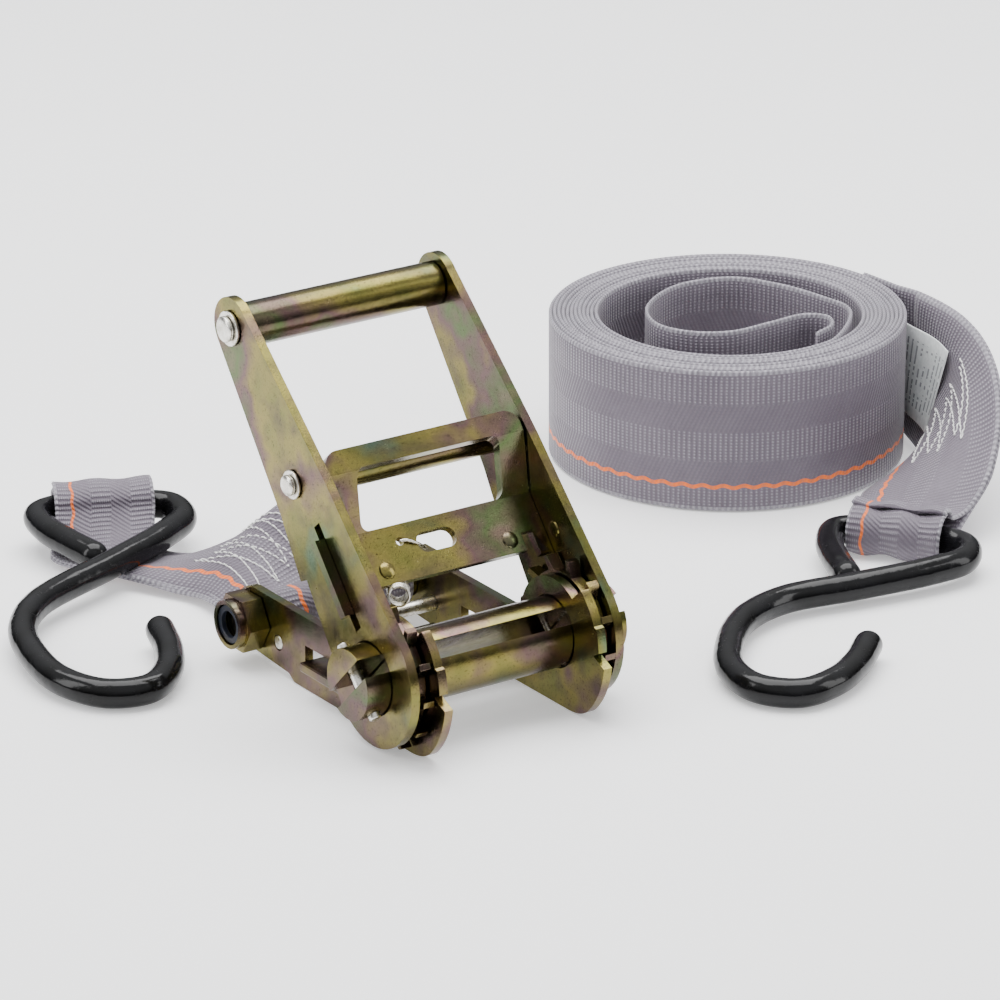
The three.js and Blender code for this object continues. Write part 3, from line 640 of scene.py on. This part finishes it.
FLAT = FLOOR_MM + 2.3  # the middle of two sewn plies that lie on the floor
SEWN_PLY = 0.00135  # metres
LOOSE_R = WIRE_MM + 2.6
UPPER_R = LOOSE_R + 1.6
TAIL = [
    ((261.9, 152, MIDDLE_Z), (0, 0, 1), 24.8), ((262.6, 136, 2.2), (0, 0, 1), 24.8),
    ((261.4, 122, 3), (0.1, 0, 1), 24.8), ((254.5, 97, 3), (0.25, -0.12, 0.95), 24.8),
    ((243, 79, 0), (0.42, -0.42, 0.8), 24.6), ((230, 66.5, -5.5), (0.54, -0.64, 0.54), 24.2),
    ((216, 55.5, -11), (0.58, -0.76, 0.28), 23), ((204, 46.8, -14.5), (0.6, -0.79, 0.08), 19),
]
eye = HOOKS["right_hook"]["at"]
bar_axis = eye_bar_direction("right_hook")
if bar_axis.y > 0:
    bar_axis = -bar_axis
away = Vector((0, 0, 1)).cross(bar_axis).normalized()
if away.x < 0:
    away = -away
sparse = [(Vector(a), Vector(b).normalized(), c) for a, b, c in TAIL]
lower = sparse + round_bar(eye, bar_axis, away, LOOSE_R, 16, -35, -280, 11)
at, across, half = eased(lower, 120)
tail = Ribbon(at + np.array(SPINDLE), across, half, SEWN_PLY, -0.0008)
at, across, half = eased(sparse[2:] + round_bar(eye, bar_axis, away, UPPER_R, 16, 25, 100, 4), 90)
flap = Ribbon(at + np.array(SPINDLE), across, half, SEWN_PLY, 0.0008)


def crumple(length, s):
    """Small soft folds where the webbing is gathered into the eye."""
    return 0.0006 * math.sin(s * 7 + length * 60) * (1 if length > 0.05 else length / 0.05)


def flap_crown(length, s):
    return crumple(length + 0.03, s)


tail_mesh = tail.mesh("webbing_tail_strip", 16, crumple)
flap_mesh = flap.mesh("webbing_tail_flap", 16, flap_crown)
finish_piece(tail_mesh, "long_webbing", WEBBING, ["webbing_tail"])
finish_piece(flap_mesh, "long_webbing", WEBBING)


def zigzag(name, ribbon, corners, lift, radius=0.00026, crown=None):
    """Thread that dips in and out of a ribbon's face along corners given as (u, v) in mm."""
    path = []
    for (u0, v0), (u1, v1) in zip(corners, corners[1:]):
        steps = max(4, int(math.hypot(u1 - u0, v1 - v0) / 0.6))
        for i in range(steps):
            t = i / steps
            u, v = (u0 + (u1 - u0) * t) / 1000, (v0 + (v1 - v0) * t) / 1000
            rise = lift + math.copysign(0.00032, lift) * math.cos(2 * math.pi * i / 5)
            if crown is not None:
                rise += crown(u, 2 * v / WEBBING_WIDTH - 1)
            path.append(ribbon.point(u, v, rise))
    return tube(name, path, radius, 8, 2)


def pattern(start, end, low_v, high_v, zigs):
    """Corners of a zigzag whose strokes run along the webbing and advance across it."""
    return [
        (start if i % 2 == 0 else end, low_v + (high_v - low_v) * i / (2 * zigs))
        for i in range(2 * zigs + 1)
    ]


def thread_pair(name, ribbon, start, end, lift, body, crown=None):
    pieces = []
    for tag, low_v, high_v, zigs, shift in (("a", 10, 40, 3, 0), ("b", 38, 14, 2, 3)):
        corners = pattern(start + shift, end - shift, low_v, high_v, zigs)
        piece = zigzag(f"{name}_{tag}", ribbon, corners, lift, crown=crown)
        pieces.append(finish_piece(piece, body, WHITE_THREAD))
    return pieces


outer = thread_pair("tail_stitch_front", flap, 34, 68, 0.0007, "long_webbing", flap_crown)

label_at = [
    (Vector((258.2, 124, 2.4)), Vector((0.1, 0, 1)), 15),
    (Vector((254.8, 108, 2.6)), Vector((0.18, 0, 1)), 15),
    (Vector((250.5, 95.5, 2.4)), Vector((0.25, -0.1, 0.95)), 15),
]
at, across, half = eased(label_at, 24)
label = Ribbon(at + np.array(SPINDLE), across, half, 0.0003)


def label_crown(length, s):
    return 0.0006 * math.sin(length * 190 + s)


label_mesh = label.mesh("label_sheet", 8, label_crown, LABEL_WIDTH)
finish_piece(label_mesh, "long_webbing", LABEL, ["label"])

# ---- the short strap --------------------------------------------------------------------------

BOLT = Vector((0, 80, -9.5))
eye = HOOKS["left_hook"]["at"]
bar_axis = eye_bar_direction("left_hook")
if bar_axis.x < 0:
    bar_axis = -bar_axis
in_eye = Vector((0, 0, 1)).cross(bar_axis).normalized()
if in_eye.y > 0:
    in_eye = -in_eye


def from_bar(d, z):
    p = eye + in_eye * d
    return Vector((p.x, p.y, z))


X_AXIS = Vector((1, 0, 0))
round_bolt = [
    (BOLT + Vector((0, -math.cos(a), math.sin(a))) * 6.1, X_AXIS, 24.8)
    for a in [math.radians(d) for d in range(-60, 150, 15)]
]
body_line = [
    (Vector((0, 92, -13.6)), X_AXIS, 24.8),
    (Vector((0, 104, FLAT + 8)), Vector((1, 0, 0.32)), 24.8),
    (Vector((-1, 115, FLAT + 13)), Vector((1, -0.05, 0.58)), 24.6),
    (Vector((-3, 127, FLAT + 14.5)), Vector((0.9, -0.08, 0.68)), 24.6),
    (Vector((-8, 142, FLAT + 7)), Vector((1, -0.15, 0.29)), 24.2),
    (Vector((-17, 156, FLAT + 1.2)), Vector((1, -0.3, 0.04)), 22),
    (from_bar(24, FLAT), bar_axis, 18.5), (from_bar(15, FLAT + 2), bar_axis, 16.4),
]
middle_of_bar = eye + bar_axis * 1.2
round_eye = round_bar(middle_of_bar, bar_axis, in_eye, LOOSE_R, 16.4, -20, -285, 11)
at, across, half = eased(round_bolt + body_line + round_eye, 210)
strap = Ribbon(at + np.array(SPINDLE), across, half, SEWN_PLY, -0.0007)
top_line = [(a + Vector((0, 0, 1.7)), b, c - 0.3) for a, b, c in body_line[:-1]]
top_line += [(from_bar(15, FLAT + 5.5), bar_axis, 16.4)]
top_line += round_bar(middle_of_bar, bar_axis, in_eye, UPPER_R, 16.4, 15, 105, 5)
at, across, half = eased(top_line, 110)
cover = Ribbon(at + np.array(SPINDLE), across, half, SEWN_PLY)


def cover_crown(length, s):
    return 0.0004 + 0.0004 * math.sin(s * 6 + length * 45)


strap_mesh = strap.mesh("short_strap_strip", 16)
cover_mesh = cover.mesh("short_strap_cover", 16, cover_crown)
finish_piece(strap_mesh, "short_strap", WEBBING, ["short_strap"])
finish_piece(cover_mesh, "short_strap", WEBBING)
cover_side = 1 if cover.up[50][2] > 0 else -1
strap_threads = thread_pair(
    "short_strap_stitch", cover, 14, 50, cover_side * 0.0007, "short_strap",
    cover_crown,
)

# ---- floor and light --------------------------------------------------------------------------

REACH, BELOW = 6, -0.0002  # metres
corners = [(-REACH, -REACH), (REACH, -REACH), (REACH, REACH), (-REACH, REACH)]
floor = new_object("floor", [(x, y, BELOW) for x, y in corners], [[0, 1, 2, 3]])
s = Shader("floor", Specular_IOR_Level=0.3, Emission_Color=(1, 1, 1, 1), Emission_Strength=0.4)
floor.data.materials.append(
    s.set(
        Base_Color=s.ramp(
            s.noise(s.where(), 3, 2), [(0.3, (0.90, 0.90, 0.905)), (0.7, (0.915, 0.915, 0.92))]
        ),
        Roughness=s.scaled(s.noise(s.where(), 9, 2), 0.30, 0.40),
    )
)

world = bpy.data.worlds.new("studio")
bpy.context.scene.world = world
world.use_nodes = True
studio = world.node_tree
looking = studio.nodes.new("ShaderNodeSeparateXYZ")
studio.links.new(studio.nodes.new("ShaderNodeTexCoord").outputs["Generated"], looking.inputs[0])
walls = studio.nodes.new("ShaderNodeValToRGB")
studio.links.new(looking.outputs[2], walls.inputs["Fac"])
HORIZON, CEILING = (0.12, 0.045), (0.66, 1.05)
for element, (at, light) in zip(walls.color_ramp.elements, (HORIZON, CEILING)):
    element.position = at
    element.color = (light, light * 1.01, light * 1.03, 1)
studio.links.new(walls.outputs["Color"], studio.nodes["Background"].inputs["Color"])
studio.nodes["Background"].inputs["Strength"].default_value = 1.0


def soft_light(name, location, target, size, watts, colour=(1, 1, 1)):
    data = bpy.data.lights.new(name, "AREA")
    data.shape = "RECTANGLE"
    data.size, data.size_y = size
    data.energy = watts
    data.color = colour
    obj = bpy.data.objects.new(name, data)
    bpy.context.scene.collection.objects.link(obj)
    obj.location = location
    obj.rotation_euler = (Vector(target) - Vector(location)).to_track_quat("-Z", "Y").to_euler()


centre = Vector((0, 0, 0.04))
soft_light("top", (0.1, 0.25, 1.25), centre, (1.5, 1.1), 38)
soft_light("left", centre - right * 1.1 + Vector((0, 0, 0.55)) - level * 0.3, centre, (0.35, 0.9), 6)
soft_light("right", centre + right * 1.2 + Vector((0, 0, 0.5)) - level * 0.1, centre, (0.4, 0.9), 5)
